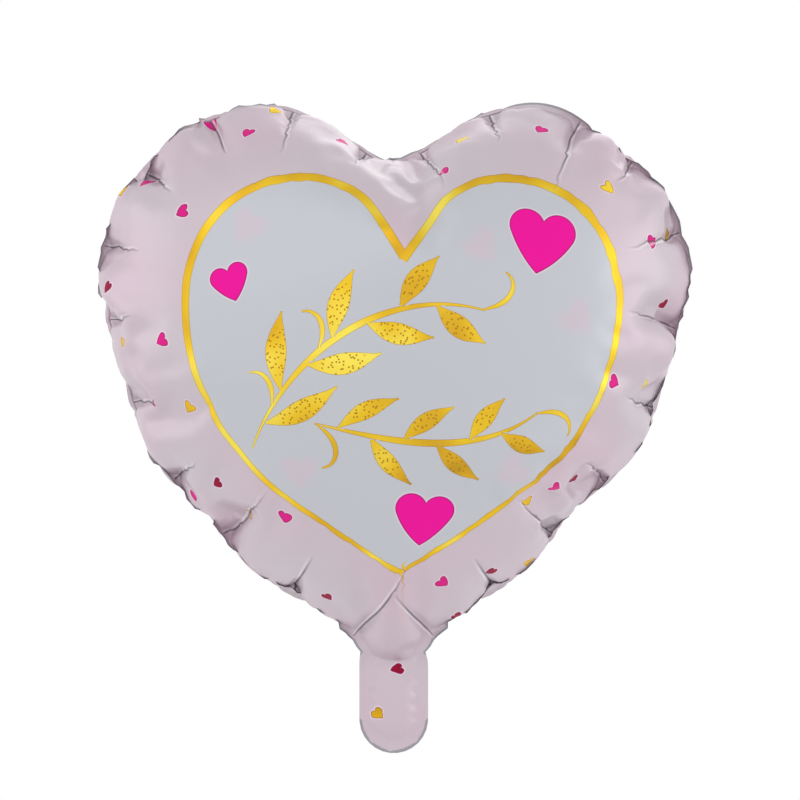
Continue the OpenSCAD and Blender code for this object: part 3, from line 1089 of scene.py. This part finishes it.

# %% [markdown]
# ## The sheets in place of the model's solids
# The tail flexes on the neck. Each sheet is set in place, and the sheets stand in for the plain solids of
# the model, which are hidden.

# %% Bodies, stand-ins and flat sizes
valve_wide = valve_high.x - valve_low.x
valve_long = valve_high.z - tail_valve_low.z
print("valve strips", round(valve_wide, 3), "by", round(valve_long, 4), "m")
SHEETS = [
    (front_foil, "front_film", "tail_front_film", "pearl_film", flat_size, flat_area, "stretched"),
    (back_foil, "back_film", "tail_back_film", "pearl_film", flat_size, flat_area, "stretched"),
    (front_strip, "valve_front_film", "tail_valve_front_film", "clear_valve_film",
     (valve_wide, valve_long), valve_wide * valve_long, "hung"),
    (back_strip, "valve_back_film", "tail_valve_back_film", "clear_valve_film",
     (valve_wide, valve_long), valve_wide * valve_long, "hung")]
for sheet, node, tail_node, slot, size, area, held_how in SHEETS:
    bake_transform(sheet)
    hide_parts(node, tail_node)

# %% [markdown]
# ## Floor, world and lights
# A white studio: a pale floor well under the tail, a bright backdrop, and big soft lights: a key from the
# upper left, one at each side that brightens the edges, and a weak one behind. The room that the film
# mirrors is white at the height of the balloon and greyer above and below, so that the bulges show their
# shape.

# %% Floor
FLOOR_DROP = 0.16
FLOOR_HALF = 0.8
floor_corners = np.array([[-1, -1, 0], [1, -1, 0], [1, 1, 0], [-1, 1, 0]]) * FLOOR_HALF
floor_corners[:, 2] = tail_low.z - FLOOR_DROP
floor_mesh = bpy.data.meshes.new("studio_floor")
floor_mesh.from_pydata(floor_corners.tolist(), [], [(0, 1, 2, 3)])
floor = bpy.data.objects.new("studio_floor", floor_mesh)
scene.collection.objects.link(floor)
floor_paint = bpy.data.materials.new("floor_paint")
floor_paint.use_nodes = True
floor_paint.node_tree.nodes["Principled BSDF"].inputs["Base Color"].default_value = (0.92, 0.92, 0.92, 1)
floor_paint.node_tree.nodes["Principled BSDF"].inputs["Roughness"].default_value = 0.7
floor_mesh.materials.append(floor_paint)

# %% World
world = bpy.data.worlds.new("studio")
scene.world = world
world.use_nodes = True
sky = world.node_tree
room = sky.nodes["Background"]
way = add_node(sky, "ShaderNodeTexCoord")
rise = add_node(sky, "ShaderNodeSeparateXYZ", way.outputs["Generated"]).outputs[2]
room_ramp = add_node(sky, "ShaderNodeValToRGB", fade(sky, rise, -1.0, 1.0))
room_stops = room_ramp.color_ramp.elements
room_stops[0].position, room_stops[0].color = 0.05, (0.45, 0.45, 0.46, 1)
room_stops[1].position, room_stops[1].color = 1.0, (0.75, 0.75, 0.75, 1)
room_stops.new(0.45).color = (1.0, 1.0, 1.0, 1)
sky.links.new(room_ramp.outputs["Color"], room.inputs["Color"])
room.inputs["Strength"].default_value = 1.0
backdrop = add_node(sky, "ShaderNodeBackground", (1, 1, 1, 1), 1.0)
seen = add_node(sky, "ShaderNodeLightPath").outputs["Is Camera Ray"]
both = add_node(sky, "ShaderNodeMixShader", seen, room.outputs[0], backdrop.outputs[0])
sky.links.new(both.outputs[0], sky.nodes["World Output"].inputs["Surface"])

# %% Lights
LIGHTS = [
    ("key", (-0.7, -1.6, 1.5), 1.8, 4),
    ("left", (-1.7, -0.1, 0.6), 1.3, 3),
    ("right", (1.7, -0.4, 0.5), 1.3, 4.5),
    ("behind", (0.3, 1.2, 1.2), 1.0, 3)]
for name, place, size, power in LIGHTS:
    lamp_data = bpy.data.lights.new(name, "AREA")
    lamp_data.size = size
    lamp_data.energy = power
    lamp = bpy.data.objects.new(name, lamp_data)
    lamp.location = place
    lamp.rotation_euler = (Vector((0, 0, heart_tall / 2)) - lamp.location).to_track_quat("-Z", "Y").to_euler()
    scene.collection.objects.link(lamp)
